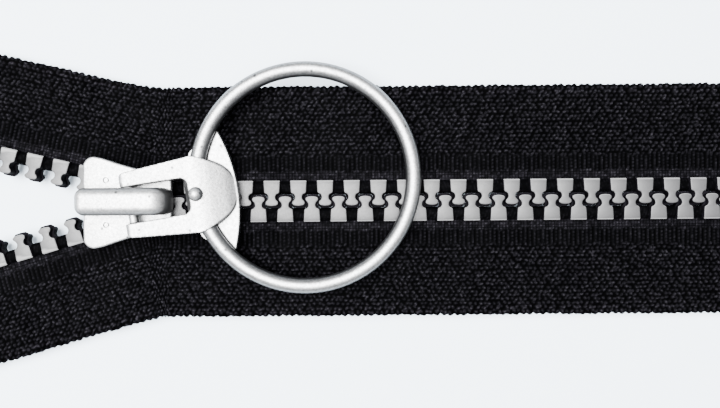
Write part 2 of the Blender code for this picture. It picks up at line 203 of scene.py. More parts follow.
def rounded_path(points, steps=6, closed=True):
    """A smooth curve through the points (Catmull-Rom)."""
    count = len(points)
    made = []
    for index in range(count if closed else count - 1):
        four = []
        for offset in (-1, 0, 1, 2):
            at = (index + offset) % count if closed else min(max(index + offset, 0), count - 1)
            four.append(Vector(points[at]))
        a, b, c, d = four
        for step in range(steps):
            t = step / steps
            made.append(tuple(0.5 * (2 * b + (c - a) * t + (2 * a - 5 * b + 4 * c - d) * t ** 2
                                     + (3 * b - a - 3 * c + d) * t ** 3)))
    if not closed:
        made.append(tuple(points[-1]))
    return made


# Materials ----------------------------------------------------------------------------------------

# The range that a noise texture mostly stays in
NOISE_LOW = 0.3
NOISE_HIGH = 0.7

# Size of an upright normal's part on steep and on level faces of a casting; between them the painted shade on
# steep faces fades in
STEEP = 0.5
LEVEL = 0.99

# Colours, as linear values
# Painted shade between the tape's yarns, rising to a painted sheen on their tops.
YARN_SHADE_AND_SHEEN_TONES = [(0.0, (0.0001, 0.0001, 0.00014)), (0.3, (0.0007, 0.0007, 0.0009)),
              (0.7, (0.0042, 0.0039, 0.0050)), (1.0, (0.0140, 0.0132, 0.0160))]
ACETAL_DARK = (0.036, 0.036, 0.038)
ACETAL_LIGHT = (0.044, 0.044, 0.0455)
# The next colour is a painted highlight for the teeth's bevels turned to +Y and their outer edges.
ACETAL_PAINTED_HIGHLIGHT = (0.17, 0.17, 0.172, 1.0)
# The next two colours are painted shade for the teeth's side walls and tongues.
PAINTED_SHADE_DARK = (0.0014, 0.0013, 0.0019)
PAINTED_SHADE_LIGHT = (0.0050, 0.0045, 0.0062)
STEEL_DARK = (0.50, 0.50, 0.51)
STEEL_LIGHT = (0.66, 0.66, 0.67)
FILM_DARK = (0.006, 0.006, 0.007)
FILM_LIGHT = (0.016, 0.016, 0.018)
FLOOR_DARK = (0.77, 0.87, 0.965)
FLOOR_LIGHT = (0.79, 0.885, 0.975)

# Texture scales, in waves or cells per metre
FIBRE_SCALE = 5200.0
PATCH_SCALE = 160.0
CLOUD_SCALE = 220.0
GRAIN_SCALE = 6000.0
# The next scale is for the cloud in the teeth's painted wall shade.
SHADE_CLOUD_SCALE = 900.0
SPECKLE_SCALE = 3200.0
PEEL_SCALE = 2600.0
PIT_SCALE = 520.0
DRAWN_SCALE = 9000.0
FILM_SCALE = 1500.0
FLOOR_SCALE = 3.0


class Nodes:
    """Short calls for building one material's nodes."""

    def __init__(self, name):
        self.material = bpy.data.materials.new(name)
        self.material.use_nodes = True
        self.tree = self.material.node_tree
        self.shader = self.tree.nodes["Principled BSDF"]
        self.place = self.add("ShaderNodeTexCoord").outputs["Object"]

    def add(self, kind, **values):
        """A node, with socket values by name and settings by attribute."""
        node = self.tree.nodes.new(kind)
        for key, value in values.items():
            if hasattr(node, key):
                setattr(node, key, value)
            else:
                node.inputs[key.replace("_", " ")].default_value = value
        return node

    def link(self, start, end):
        """Join an output to an input."""
        self.tree.links.new(start, end)

    def noise(self, scale, detail=3.0, roughness=0.5, vector=None):
        """A noise texture's value, at so many waves per metre."""
        node = self.add("ShaderNodeTexNoise", Scale=scale, Detail=detail, Roughness=roughness)
        self.link(vector or self.place, node.inputs["Vector"])
        return node.outputs["Fac"]

    def ramp(self, value, stops):
        """A colour ramp from (position, colour) stops."""
        node = self.add("ShaderNodeValToRGB")
        bar = node.color_ramp
        while len(bar.elements) < len(stops):
            bar.elements.new(0.5)
        for element, (position, colour) in zip(bar.elements, stops):
            element.position = position
            element.color = (*colour, 1.0)
        self.link(value, node.inputs["Fac"])
        return node.outputs["Color"]

    def span(self, value, low, high, out_low, out_high):
        """A value's range mapped to another range."""
        node = self.add("ShaderNodeMapRange")
        node.inputs["From Min"].default_value = low
        node.inputs["From Max"].default_value = high
        node.inputs["To Min"].default_value = out_low
        node.inputs["To Max"].default_value = out_high
        self.link(value, node.inputs["Value"])
        return node.outputs["Result"]

    def tones(self, noise, dark, light):
        """A noise turned into a colour between two."""
        return self.ramp(noise, [(NOISE_LOW, dark), (NOISE_HIGH, light)])

    def colour(self, value):
        """A colour for the shader."""
        self.link(value, self.shader.inputs["Base Color"])

    def roughness(self, noise, low, high):
        """A roughness for the shader, from a noise."""
        self.link(self.span(noise, NOISE_LOW, NOISE_HIGH, low, high), self.shader.inputs["Roughness"])

    def bump(self, height, strength, distance):
        """A bump for the shader, from a height."""
        node = self.add("ShaderNodeBump", Strength=strength, Distance=distance)
        self.link(height, node.inputs["Height"])
        self.link(node.outputs["Normal"], self.shader.inputs["Normal"])

    def split(self, vector):
        """A vector's three parts, by letter."""
        node = self.add("ShaderNodeSeparateXYZ")
        self.link(vector, node.inputs["Vector"])
        return node.outputs

    def set(self, **values):
        """Values on the shader's own sockets."""
        for key, value in values.items():
            self.shader.inputs[key.replace("_", " ")].default_value = value

    def math(self, operation, first, second):
        """A math node of two sockets or numbers."""
        node = self.add("ShaderNodeMath", operation=operation)
        for socket, value in zip(node.inputs, (first, second)):
            if isinstance(value, (int, float)):
                socket.default_value = value
            else:
                self.link(value, socket)
        return node.outputs[0]


def tape_material():
    """Black woven polyester, with painted shade between the yarns and a painted sheen on top of them."""
    made = Nodes("woven_polyester")
    yarn_shade_and_sheen = made.add("ShaderNodeAttribute", attribute_name="yarn_shade_and_sheen").outputs["Fac"]
    fibre = made.noise(FIBRE_SCALE, 2.0, 0.6)
    patch = made.noise(PATCH_SCALE, 2.0)
    # The point attribute is painted light: sheen on raised yarns and on the bead's twist, shade between them.
    lift = made.math("MULTIPLY", yarn_shade_and_sheen, made.span(fibre, NOISE_LOW, NOISE_HIGH, 0.55, 1.25))
    made.colour(made.ramp(lift, YARN_SHADE_AND_SHEEN_TONES))
    made.roughness(patch, 0.62, 0.8)
    made.set(Specular_IOR_Level=0.008)
    made.bump(fibre, 0.5, 0.00004)
    return made.material


def teeth_material():
    """Matte light grey acetal with a faint mould grain, and a painted highlight on bevels turned to +Y and
    along the row's outer edge.
    """
    made = Nodes("acetal_teeth")
    cloud = made.noise(CLOUD_SCALE, 3.0)
    grain = made.noise(GRAIN_SCALE, 2.0, 0.6)
    normal = made.split(made.add("ShaderNodeTexCoord").outputs["Normal"])
    # Painted highlight: bevels turned to +Y and the row's outer edge take a light colour, standing in for
    # light from that side.
    outward = made.math("MULTIPLY", normal["Y"], made.split(made.place)["Y"])
    painted_highlight = made.math("MAXIMUM", made.span(outward, 0.0009, 0.0015, 0.0, 1.0),
                       made.span(normal["Y"], 0.2, 0.5, 0.0, 1.0))
    rim = made.add("ShaderNodeMix", data_type="RGBA")
    made.link(painted_highlight, rim.inputs["Factor"])
    made.link(made.tones(cloud, ACETAL_DARK, ACETAL_LIGHT), rim.inputs["A"])
    rim.inputs["B"].default_value = ACETAL_PAINTED_HIGHLIGHT
    made.colour(rim.outputs["Result"])
    made.roughness(grain, 0.40, 0.55)
    made.set(Specular_IOR_Level=0.6)
    made.bump(grain, 0.25, 0.00002)
    return made.material


def painted_shade_material():
    """The teeth's side walls and tongues: the same moulding, dull, and coloured near-black as painted shade
    for the shadow down the walls and in the gaps between the heads.
    """
    made = Nodes("acetal_painted_shade")
    cloud = made.noise(SHADE_CLOUD_SCALE, 3.0)
    made.colour(made.tones(cloud, PAINTED_SHADE_DARK, PAINTED_SHADE_LIGHT))
    made.roughness(cloud, 0.6, 0.75)
    made.set(Specular_IOR_Level=0.02)
    return made.material


def cast_material(name, light, dark, grain_depth, metallic, rough):
    """Silver-white coated casting: fine speckle, small pits, and painted shade that darkens its faces as they
    turn steep.
    """
    made = Nodes(name)
    cloud = made.noise(SPECKLE_SCALE, 3.0, 0.7)
    peel = made.noise(PEEL_SCALE, 3.0, 0.55)
    pits = made.add("ShaderNodeTexVoronoi", Scale=PIT_SCALE, Randomness=1.0)
    made.link(made.place, pits.inputs["Vector"])
    pit = made.span(pits.outputs["Distance"], 0.06, 0.13, 0.12, 1.0)
    normal = made.split(made.add("ShaderNodeTexCoord").outputs["Normal"])
    # Painted shade: the colour darkens from level to steep faces, standing in for the dark surroundings that
    # steep faces reflect.
    steep_shade = made.span(made.math("ABSOLUTE", normal["Z"], 0.0), STEEP, LEVEL, 0.02, 1.0)
    speckle = made.span(cloud, 0.35, 0.6, 0.55, 1.0)
    tone = made.math("MULTIPLY", speckle, made.math("MULTIPLY", pit, steep_shade))
    made.colour(made.ramp(tone, [(0.0, dark), (1.0, light)]))
    made.roughness(peel, *rough)
    made.set(Metallic=metallic)
    made.bump(made.math("ADD", peel, made.math("MULTIPLY", pit, 0.6)), 0.35, grain_depth)
    return made.material


def steel_material():
    """Plain spring steel, drawn along its length."""
    made = Nodes("spring_steel")
    stretch = made.add("ShaderNodeMapping")
    stretch.inputs["Scale"].default_value = (0.05, 1.0, 1.0)
    made.link(made.place, stretch.inputs["Vector"])
    lines = made.noise(DRAWN_SCALE, 2.0, 0.5, stretch.outputs["Vector"])
    made.colour(made.tones(lines, STEEL_DARK, STEEL_LIGHT))
    made.roughness(lines, 0.22, 0.36)
    made.set(Metallic=1.0)
    made.bump(lines, 0.2, 0.00001)
    return made.material


def film_material():
    """Clear plastic film welded on the tape's end, as dark as the tape, with the weave pressed into it."""
    made = Nodes("clear_film")
    weave = made.noise(FILM_SCALE, 2.0)
    made.colour(made.tones(weave, FILM_DARK, FILM_LIGHT))
    made.roughness(weave, 0.12, 0.25)
    made.set(Specular_IOR_Level=0.12, Coat_Weight=0.05, Coat_Roughness=0.2)
    made.bump(weave, 0.4, 0.00005)
    return made.material


# Tapes --------------------------------------------------------------------------------------------

# Crepe floats: lattice steps, jitter as a share of a step, lean in radians, and half lengths and widths
CREPE_STEP_U = 0.70
CREPE_STEP_V = 0.56
CREPE_JITTER_U = 0.42
CREPE_JITTER_V = 0.4
CREPE_LEAN = 0.2
CREPE_LEAN_RANGE = 1.9
FLOAT_LENGTH = 0.28
FLOAT_LENGTH_RANGE = 0.09
FLOAT_WIDTH = 0.215
FLOAT_WIDTH_RANGE = 0.04
FLOAT_LOWEST = 0.68
CREPE_RISE = 0.2

# Ribs
RIB_PITCH = 0.63
RIB_HALF = 0.33
RIB_SWAY = 0.12
RIB_LINK = 0.5
RIB_RISE = 0.17
# How light the ribs' painted sheen is.
RIB_TONE = 0.78

# Plain band next to the teeth
BAND_STEP_U = 0.44
BAND_STEP_V = 0.4
BAND_RISE = 0.05
# How light the band's painted sheen is.
BAND_TONE = 1.25

# How far the borders between the weaves wander
WANDER = 0.25

# Selvedge lobes: how far each sort stands out, and how far the very edge bends down and up
LOBE_PITCH = 1.9
LOBE_LARGE = 0.12
LOBE_SMALL = 0.28
LOBE_UNEVEN = 0.12
LOBE_INSET = 0.14
EDGE_SHARE = 0.975
EDGE_DOWN = 0.22
EDGE_UP = 0.12

# Bead cord's twist, and the ground under the weave
ROPE_PITCH = 0.45
ROPE_LEAN = 0.35
ROPE_CELL = 0.35
ROPE_RISE = 0.06
GROUND = 0.08


def bend_turn(s, angle):
    """How far the cord's direction has turned at s, from 0 on the closed side to the full angle."""
    share = np.clip(0.5 - s / BEND_LENGTH, 0.0, 1.0)
    return angle * share


def bend_centre(s, angle):
    """The cord's place at s, from the fold, with the closed side along +X and turning outwards."""
    half = BEND_LENGTH / 2
    radius = BEND_LENGTH / angle
    inside = np.clip(s, -half, half)
    turn = bend_turn(inside, angle)
    x = half - radius * np.sin(turn)
    y = radius * (1 - np.cos(turn))
    beyond = s - inside
    closed = beyond > 0
    x = x + np.where(closed, beyond, beyond * math.cos(angle))
    y = y + np.where(closed, 0.0, -beyond * math.sin(angle))
    return x, y


def to_chain(s, t, z, place):
    """Chain coordinates for points s along the cord and t outwards from it, in metres."""
    angle = place["angle"]
    centre_x, centre_y = bend_centre(s, angle)
    turn = bend_turn(s, angle)
    x = place["hinge"] + centre_x + t * np.sin(turn)
    y = place["side"] * (CORD_Y + centre_y + t * np.cos(turn))
    return np.stack([x, y, z], axis=-1) * MM


def cell_random(column, row, seed, channel):
    """A repeatable number from 0 to 1 for each cell of a lattice."""
    mixed = (column.astype(np.int64) * 73856093) ^ (row.astype(np.int64) * 19349663)
    mixed = mixed ^ (seed * 83492791 + channel * 2654435761)
    mixed = (mixed ^ (mixed >> 13)) * 1274126177 & 0x7FFFFFFF
    mixed = (mixed ^ (mixed >> 16)) & 0xFFFF
    return mixed / 65535.0


def crepe(u, v, seed):
    """Height from 0 to 1 of the crepe weave: small oval yarn floats, jittered and turned."""
    row = np.floor(v / CREPE_STEP_V)
    best = np.zeros_like(u)
    for down in (-1, 0, 1):
        at_row = row + down
        shift = 0.5 * (at_row % 2)
        column = np.floor(u / CREPE_STEP_U - shift)
        for along in (-1, 0, 1):
            at_column = column + along
            pick = [cell_random(at_column, at_row, seed, channel) for channel in range(5)]
            centre_u = (at_column + 0.5 + shift + (pick[0] - 0.5) * CREPE_JITTER_U) * CREPE_STEP_U
            centre_v = (at_row + 0.5 + (pick[1] - 0.5) * CREPE_JITTER_V) * CREPE_STEP_V
            lean = (pick[2] - 0.5) * CREPE_LEAN_RANGE + CREPE_LEAN
            du = (u - centre_u) * np.cos(lean) + (v - centre_v) * np.sin(lean)
            dv = (v - centre_v) * np.cos(lean) - (u - centre_u) * np.sin(lean)
            length = FLOAT_LENGTH + FLOAT_LENGTH_RANGE * pick[3]
            width = FLOAT_WIDTH + FLOAT_WIDTH_RANGE * pick[4]
            dome = 1.0 - (du / length) ** 2 - (dv / width) ** 2
            rise = FLOAT_LOWEST + (1 - FLOAT_LOWEST) * pick[3]
            best = np.maximum(best, np.sqrt(np.clip(dome, 0, 1)) * rise)
    return best


def ribs(u, v, seed):
    """Height of the ribs across the tape beside the chain, each a row of short floats."""
    column = np.floor(u / RIB_PITCH)
    sway = (cell_random(column, column * 0, seed, 6) - 0.5) * RIB_SWAY
    across = np.abs((u / RIB_PITCH - column) - 0.5 - sway)
    ridge = np.sqrt(np.clip(1 - (across / RIB_HALF) ** 2, 0, 1))
    phase = v / RIB_LINK + 0.5 * (column % 2)
    joint = np.abs(phase - np.floor(phase) - 0.5)
    float_height = np.clip(1.25 - (joint / 0.46) ** 4, 0, 1)
    pick = cell_random(column, np.floor(phase), seed, 7)
    return ridge * float_height * (0.55 + 0.45 * pick)


def band(u, v, seed):
    """Height of the fine plain band next to the teeth."""
    pick = cell_random(np.floor(u / BAND_STEP_U), np.floor(v / BAND_STEP_V), seed, 8)
    wave = np.abs(np.sin(math.pi * u / BAND_STEP_U)) * np.abs(np.sin(math.pi * v / BAND_STEP_V))
    return (0.3 + 0.7 * wave) * (0.4 + 0.6 * pick)


def ease(value, low, high):
    """0 below low, 1 above high and smooth between."""
    share = np.clip((value - low) / (high - low), 0, 1)
    return share * share * (3 - 2 * share)


def weave(u, v, seed):
    """Height in millimetres over the ground, and brightness, at u along and v out from the centre; the
    brightness is painted sheen on raised yarns and painted shade between them.
    """
    field = crepe(u, v, seed)
    rib = ribs(u, v, seed)
    plain = band(u, v, seed)
    wander = WANDER * np.sin(u * 1.9) * np.sin(u * 0.7 + 1.3)
    to_rib = ease(v + wander, BAND_OUTER - 0.15, BAND_OUTER + 0.1)
    to_field = ease(v + wander * 1.4, RIB_OUTER - 0.5, RIB_OUTER + 0.3)
    height = (plain * BAND_RISE * (1 - to_rib) + rib * RIB_RISE * to_rib * (1 - to_field)
              + field * CREPE_RISE * to_field)
    tone = (plain * BAND_TONE * (1 - to_rib) + rib * RIB_TONE * to_rib * (1 - to_field)
            + field * to_field)
    return height, tone


def selvedge(u, seed):
    """How far the outer edge stands out: lobes of the turning weft, two small ones to each."""
    lobe = np.abs(np.sin(math.pi * u / LOBE_PITCH))
    small = np.abs(np.sin(2 * math.pi * u / LOBE_PITCH + 0.6))
    pick = cell_random(np.floor(u / LOBE_PITCH), u * 0, seed, 9)
    return LOBE_LARGE * lobe + LOBE_SMALL * small + LOBE_UNEVEN * (pick - 0.5) - LOBE_INSET


def bead_arch(v):
    """The bead cord's round section, from 0 at its sides to 1 over its middle."""
    bead_y = np.clip((v - BEAD_Y) / BEAD_HALF, -1, 1)
    return np.sqrt(np.clip(1 - bead_y ** 2, 0, 1))


def upper_face(u, v, share, seed):
    """Height over the table and brightness of the upper face: bead cord, weave and selvedge, with painted
    sheen on raised yarns and on the cord's twist, painted shade between, and light flecks in the selvedge's
    notches.
    """
    height, tone = weave(u, v, seed)
    flat = TAPE_HIGH - GROUND + height
    rope = np.abs(np.sin(math.pi * (u + ROPE_LEAN * v) / ROPE_PITCH))
    bead = CORD_Z + (BEAD_RISE + ROPE_RISE * rope) * bead_arch(v)
    pick = cell_random(np.floor(u / ROPE_PITCH), np.floor(v / ROPE_CELL), seed, 11)
    # Painted sheen on the ridges of the cord's twist, varied at random.
    bead_tone = 0.12 + 0.45 * rope * pick
    over = v < BEAD_Y + BEAD_HALF
    join = ease(v, BEAD_Y + 0.6, BEAD_Y + 1.05)
    z = np.where(over, np.maximum(bead, flat * join + (1 - join) * CORD_Z), flat)
    tone = np.where(over, bead_tone * (1 - join) + tone * join, tone)
    z = z - EDGE_DOWN * ease(share, EDGE_SHARE, 1.0)
    notch = ease(np.abs(np.sin(math.pi * (u / LOBE_PITCH + 0.15 + 1.2 * share))), 0.9, 0.99)
    inset = ease(share, 0.925, 0.945) * ease(-share, -0.965, -0.945)
    return z, np.maximum(tone, 1.1 * notch * inset)


def lower_face(u, v, share, seed):
    """Height over the table and brightness of the plainer lower face; the brightness is painted sheen on its
    floats.
    """
    floats = crepe(u, v, seed + 1)
    bead = CORD_Z - BEAD_RISE * bead_arch(v)
    z = np.where(v < BEAD_Y + BEAD_HALF, np.minimum(bead, TAPE_LOW + 0.3), TAPE_LOW + 0.05)
    z = z - 0.05 * floats * ease(v, BAND_OUTER, RIB_OUTER)
    z = z + EDGE_UP * ease(share, EDGE_SHARE, 1.0)
    return z, 0.4 * floats


def tape_surface(s, share, face, place):
    """Points and brightness, painted sheen and shade, of one face, at s along the cord and at a share of the
    tape's width.
    """
    narrow = 1 - place["narrow"] * ease(-s, -2.0, 8.0)
    reach = (TAPE_OUTER - TAPE_INNER) * narrow
    v = TAPE_INNER + share * reach
    slack = np.clip(v - RIB_OUTER, 0, None)
    u = s + slack * bend_turn(s, place["angle"])
    edge = selvedge(u, place["seed"]) * ease(share, 0.93, 1.0)
    z, tone = face(u, v, share, place["seed"])
    return to_chain(s, v - CORD_Y + edge, z, place), tone


def quads(index, flip):
    """The faces of a grid of corner numbers."""
    faces = np.stack([index[:-1, :-1], index[1:, :-1], index[1:, 1:], index[:-1, 1:]], axis=-1)
    faces = faces.reshape(-1, 4)
    return (faces[:, ::-1] if flip else faces).tolist()


def rim(upper_line, lower_line, flip):
    """Faces that join an edge of the upper face to the lower face's, COARSE steps to one."""
    upper_line = upper_line.tolist()
    lower_line = lower_line.tolist()
    faces = []
    for step in range(len(lower_line) - 1):
        first = COARSE * step
        face = [*upper_line[first:first + COARSE + 1], lower_line[step + 1], lower_line[step]]
        faces.append(face[::-1] if flip else face)
    return faces


def tape_piece(name, place, start, stop, material):
    """A length of tape from s = start to stop: a detailed upper face, a coarser lower one and its edges."""
    count_u = int(round((stop - start) / GRID / COARSE)) * COARSE
    count_v = int(round((TAPE_OUTER - TAPE_INNER) / GRID / COARSE)) * COARSE
    along = np.linspace(start, stop, count_u + 1)
    across = np.linspace(0, 1, count_v + 1)
    s, share = np.meshgrid(along, across, indexing="ij")
    top, top_tone = tape_surface(s, share, upper_face, place)
    low, low_tone = tape_surface(s[::COARSE, ::COARSE], share[::COARSE, ::COARSE], lower_face, place)
    points = np.concatenate([top.reshape(-1, 3), low.reshape(-1, 3)])
    tone = np.concatenate([top_tone.reshape(-1), low_tone.reshape(-1)])
    upper = np.arange(top_tone.size).reshape(top_tone.shape)
    lower = np.arange(low_tone.size).reshape(low_tone.shape) + top_tone.size
    mirror = place["side"] < 0
    faces = quads(upper, mirror) + quads(lower, not mirror)
    faces += rim(upper[:, 0], lower[:, 0], not mirror)
    faces += rim(upper[:, -1], lower[:, -1], mirror)
    faces += rim(upper[0, :], lower[0, :], mirror)
    faces += rim(upper[-1, :], lower[-1, :], not mirror)
    mesh = bpy.data.meshes.new(name)
    mesh.from_pydata(points.tolist(), [], faces)
    # The painted sheen and shade go to the material as a point attribute.
    layer = mesh.attributes.new("yarn_shade_and_sheen", "FLOAT", "POINT")
    layer.data.foreach_set("value", tone.astype(np.float32))
    mesh.update()
    mesh.shade_smooth()
    return new_object(name, mesh, material)


def make_tapes(material):
    """Both tapes, each in two pieces: one over the slider's fold, one over the upper fold."""
    for word, place in SIDES.items():
        stop = TAPE_END - place["hinge"]
        main = tape_piece(f"tape_{word}_main", place, SEAM, stop, material)
        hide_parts(f"tape_{word}_closed", f"tape_{word}_mid")
        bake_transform(main)
        end = -TRAVEL - TAPE_TOP_LENGTH
        top = tape_piece(f"tape_{word}_end", place, end, SEAM, material)
        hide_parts(f"tape_{word}_top")
        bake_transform(top)


# Teeth --------------------------------------------------------------------------------------------

TOOTH_LOW = 1.0
TOOTH_HIGH = 3.4
TOOTH_BEVEL = 0.13
TEETH_SMOOTH = 35

# Draft: the share of its size that a tooth loses at its upper and lower face
DRAFT_X = 0.035
DRAFT_Y = 0.02
DRAFT_CENTRE = 1.85

# Chamfer of the outer upper edge, side ledges, and the tongue
CHAMFER_DEPTH = 0.28
CHAMFER_DROP = 0.24
LEDGE_LOW = (0.9, 1.64, 2.0)
LEDGE_HIGH = (1.3, 1.86, 2.42)
TONGUE_LOW = 1.73
TONGUE_THICK = 0.26

# Faces with less of an upright normal than this count as side walls, and take the painted-shade material
WALL_NORMAL = 0.4


def both_sides(right):
    """A whole outline from its +X half, whose last point is on X = 0."""
    return right + [(-x, y) for x, y in reversed(right[:-1])]


def tooth_outline():
    """One tooth from above, centred on X = 0, with Y as the depth from its outer edge."""
    head = [(0.96, 1.88), (0.7, 2.0), (0.55, 2.25), (0.53, 2.5), (0.63, 2.8), (0.84, 3.03),
            (0.94, 3.24), (0.87, 3.46), (0.57, 3.64), (0.0, 3.71)]
    flank = [(1.22, 0.0), (1.18, 0.9), (1.13, 1.66), (1.06, 1.8)]
    return both_sides(flank + rounded_path(head, 4, closed=False))


def tongue_outline():
    """The thin tongue round a tooth's head, from above."""
    return both_sides([(1.1, 1.6), (1.05, 1.95), (0.8, 2.3), (0.78, 2.6), (0.95, 2.85), (1.12, 3.15),
                       (1.07, 3.6), (0.7, 3.93), (0.0, 3.97)])


def tooth_mesh():
    """The tooth that all rows share: chamfered outside, rounded, drafted, with a ledge on each side."""
    tooth = prism("tooth", tooth_outline(), TOOTH_LOW, TOOTH_HIGH)
    slope = [(-0.2, TOOTH_HIGH - CHAMFER_DROP), (CHAMFER_DEPTH, TOOTH_HIGH + 0.04), (-0.2, TOOTH_HIGH + 0.04)]
    chamfer = side_prism("chamfer", slope, 2)
    chamfer.data.transform(Matrix.Rotation(math.radians(90), 4, "Z"))
    tooth = combine(tooth, chamfer, "DIFFERENCE")
    bevel(tooth, TOOTH_BEVEL, 3, 50)
    middle = (TOOTH_LOW + TOOTH_HIGH) / 2 * MM
    centre = DRAFT_CENTRE * MM
    for vert in tooth.data.vertices:
        away = abs(vert.co.z - middle) / (middle - TOOTH_LOW * MM)
        vert.co.x *= 1.0 - DRAFT_X * away
        vert.co.y = (vert.co.y - centre) * (1.0 - DRAFT_Y * away) + centre
    for turn in (1, -1):
        left, right = sorted((LEDGE_LOW[0] * turn, LEDGE_HIGH[0] * turn))
        ledge = block("ledge", (left, *LEDGE_LOW[1:]), (right, *LEDGE_HIGH[1:]))
        tooth = combine(tooth, ledge, "UNION")
    return tooth


def copy_into(work, mesh, matrix):
    """Add a mesh, moved by the matrix, to a bmesh."""
    moved = mesh.copy()
    moved.transform(matrix)
    if matrix.determinant() < 0:
        moved.flip_normals()
    work.from_mesh(moved)
    bpy.data.meshes.remove(moved)


def hinge_turn(place):
    """The turn that opens one side at the slider."""
    centre = Matrix.Translation(Vector((place["hinge"], place["side"] * CORD_Y, 0)) * MM)
    return centre @ Matrix.Rotation(-place["side"] * place["angle"], 4, "Z") @ centre.inverted()


def teeth_row(name, tooth, tongue, place, first, count, turn):
    """The mesh of one length of teeth, with a tongue to each tooth."""
    work = bmesh.new()
    level = Matrix.Translation((0, 0, place["tongue"] * MM))
    for index in range(count):
        origin = Vector((first + index * PITCH, place["side"] * CHAIN_HALF, 0)) * MM
        matrix = Matrix.Translation(origin) @ Matrix.Diagonal((1, -place["side"], 1, 1))
        matrix = turn @ matrix
        copy_into(work, tooth.data, matrix)
        copy_into(work, tongue.data, matrix @ level)
    mesh = bpy.data.meshes.new(name)
    work.to_mesh(mesh)
    work.free()
    return mesh


def make_teeth(material, painted_shade):
    """The six lengths of teeth, with their walls and tongues in the painted-shade material."""
    tooth = tooth_mesh()
    tongue = prism("tongue", tongue_outline(), TONGUE_LOW, TONGUE_LOW + TONGUE_THICK)
    # Side walls and tongues take the second material: painted shade, so the walls and the gaps that the
    # tongues close read as shadow.
    for face in tooth.data.polygons:
        face.material_index = int(abs(face.normal.z) < WALL_NORMAL)
    for face in tongue.data.polygons:
        face.material_index = 1
    for word, place in SIDES.items():
        first = place["first"]
        opened = hinge_turn(place)
        lengths = (("closed", "closed_chain", first, CLOSED_TEETH, Matrix.Identity(4)),
                   ("mid", f"{word}_mid", first - TRAVEL, MID_TEETH, opened),
                   ("top", f"{word}_top", first - TRAVEL - TOP_TEETH * PITCH, TOP_TEETH, opened))
        for part, body, start, count, turn in lengths:
            mesh = teeth_row(f"teeth_{word}_{part}_row", tooth, tongue, place, start, count, turn)
            row = new_object(mesh.name, mesh, material)
            mesh.materials.append(painted_shade)
            smooth(row, TEETH_SMOOTH)
            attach(row, body)
            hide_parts(f"teeth_{word}_{part}")
    for guide in (tooth, tongue):
        bpy.data.objects.remove(guide, do_unlink=True)


# Slider -------------------------------------------------------------------------------------------

SLIDER_FRONT = -6.3
SLIDER_REAR = 6.2
PLATE = 0.85
PLATE_TOP = 4.4
PLATE_BEVEL = 0.3
WING = 6.5
WING_CORNER = 1.5
REAR_HALF = 4.1
REAR_CORNER = 0.8
FLANGE_INSET = 0.3
FLANGE_RISE = 0.7
MARK_X = -3.0
MARK_Y = 3.15
MARK_RADIUS = 0.45
MARK_CORE = 0.27
MARK_DEPTH = 0.35
CAST_SMOOTH = 30

CROWN_FRONT = -6.2
CROWN_REAR = 6.5
CROWN_HALF = 1.9
CROWN_LOW = 4.46
CROWN_TOP = 8.1
CROWN_Y = 0.1
CROWN_BEVEL = 1.35
FRONT_ROUND = 1.3
REAR_ROUND = 2.6
CAVITY_HALF = 1.25
CAVITY_FRONT = CROWN_FRONT + 0.9
CAVITY_REAR = CROWN_REAR - 2.1
CEILING = 7.55
EYE_FRONT = -0.3
EYE_REAR = 2.5
EYE_RADIUS = 1.2
EYE_Z = 5.6
DASH_FRONT = -1.4
DASH_REAR = -0.15
DASH_HALF = 0.06
DASH_DEPTH = 0.08


def plate_outline():
    """The slider from above: two rounded wings at the mouth, narrowing to the rear."""
    half = [(SLIDER_FRONT + 0.18, 0.0), (SLIDER_FRONT + 0.08, 1.6), (SLIDER_FRONT, 3.2),
            (SLIDER_FRONT + 0.04, 4.8)]
    half += arc((SLIDER_FRONT + WING_CORNER, WING - WING_CORNER), WING_CORNER, 168, 78, 10)
    half += [(-3.6, 6.28), (-2.6, 5.95), (-1.2, 5.48), (0.2, 5.06), (1.6, 4.68), (3.2, 4.3), (4.6, 4.13)]
    half += arc((SLIDER_REAR - REAR_CORNER, REAR_HALF - REAR_CORNER), REAR_CORNER, 85, 0, 6)
    half += [(SLIDER_REAR, 0.0)]
    return half + [(x, -y) for x, y in reversed(half[1:-1])]


def wall_y(x):
    """Half width of the channel inside the slider."""
    return 3.2 + 0.2867 * max(0.0, 3.3 - x)


def flange_outline(side):
    """One side's flange from above, between the channel and the plate's edge."""
    front = SLIDER_FRONT + 0.7
    rear = SLIDER_REAR - 0.35
    inner = [(x, side * wall_y(x)) for x in (front, -4.0, -2.0, 0.0, 2.0, 3.3, rear)]
    outer = [(rear, 3.7), (5.2, 3.95), (3.2, 4.15), (1.2, 4.65), (-1.2, 5.35), (-3.2, 6.0), (-4.7, 6.3),
             (front, 6.1)]
    return inner + [(x, side * y) for x, y in outer]


def ejector_mark(side):
    """A cutter for the small ring that an ejector pin leaves in the plate."""
    centre = (MARK_X, side * MARK_Y)
    mark = prism("mark", arc(centre, MARK_RADIUS, 0, 345, 23), PLATE_TOP - MARK_DEPTH, PLATE_TOP + 1)
    core = prism("core", arc(centre, MARK_CORE, 0, 345, 23), PLATE_TOP - 1, PLATE_TOP + 2)
    return combine(mark, core, "DIFFERENCE")


